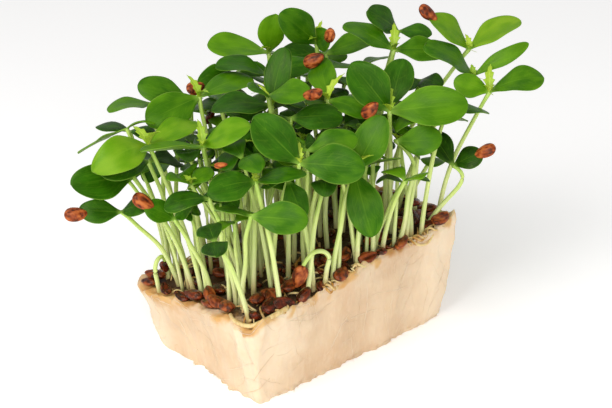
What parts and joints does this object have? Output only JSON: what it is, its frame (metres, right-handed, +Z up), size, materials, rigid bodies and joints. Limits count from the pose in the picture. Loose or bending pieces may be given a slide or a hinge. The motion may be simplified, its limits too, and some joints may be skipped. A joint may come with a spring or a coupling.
{
  "type": "sunflower microgreens block",
  "caption": "Block of matted roots that keeps its growing tray's shape, with a dense stand of leafy seedlings on slender stems and loose seed hulls.",
  "frame": {"origin": "middle of the root mat's flat underside", "axes": "+X along the mat's longer side, towards its taller end; +Y across it, towards its lower long side; +Z up"},
  "size_m": [0.2134, 0.1427, 0.1507],
  "materials": {
    "leaf_mid_green": "satin",
    "leaf_dark_green": "satin",
    "leaf_bright_green": "satin",
    "leaf_green": "satin",
    "root_cream": "matte",
    "hull_brown": "matte"
  },
  "bodies": {
    "root": {"tuft_01": "leaf_mid_green", "tuft_02": "leaf_dark_green", "tuft_03": "leaf_bright_green", "tuft_04": "leaf_green", "tuft_05": "leaf_mid_green", "tuft_06": "leaf_dark_green", "tuft_07": "leaf_bright_green", "tuft_08": "leaf_green", "tuft_09": "leaf_mid_green", "tuft_10": "leaf_dark_green", "tuft_11": "leaf_bright_green", "tuft_12": "leaf_green", "tuft_13": "leaf_mid_green", "tuft_14": "leaf_dark_green", "tuft_15": "leaf_bright_green", "tuft_16": "leaf_green", "tuft_17": "leaf_mid_green", "tuft_18": "leaf_dark_green", "tuft_19": "leaf_bright_green", "tuft_20": "leaf_green", "tuft_21": "leaf_mid_green", "tuft_22": "leaf_dark_green", "tuft_23": "leaf_bright_green", "tuft_24": "leaf_green", "tuft_25": "leaf_mid_green", "tuft_26": "leaf_dark_green", "tuft_27": "leaf_bright_green", "tuft_28": "leaf_green", "tuft_29": "leaf_mid_green", "tuft_30": "leaf_dark_green", "tuft_31": "leaf_bright_green", "tuft_32": "leaf_green", "tuft_33": "leaf_mid_green", "tuft_34": "leaf_dark_green", "tuft_35": "leaf_bright_green", "tuft_36": "leaf_green", "tuft_37": "leaf_mid_green", "tuft_38": "leaf_dark_green", "tuft_39": "leaf_bright_green", "tuft_40": "leaf_green", "root_mat": "root_cream", "hulls_01": "hull_brown", "hulls_02": "hull_brown", "hulls_03": "hull_brown", "hulls_04": "hull_brown", "hulls_05": "hull_brown", "hulls_06": "hull_brown", "hulls_07": "hull_brown", "hulls_08": "hull_brown", "hulls_09": "hull_brown", "hulls_10": "hull_brown", "hulls_11": "hull_brown", "hulls_12": "hull_brown", "hulls_13": "hull_brown", "hulls_14": "hull_brown", "hulls_15": "hull_brown", "hulls_16": "hull_brown"}
  },
  "joints": []
}
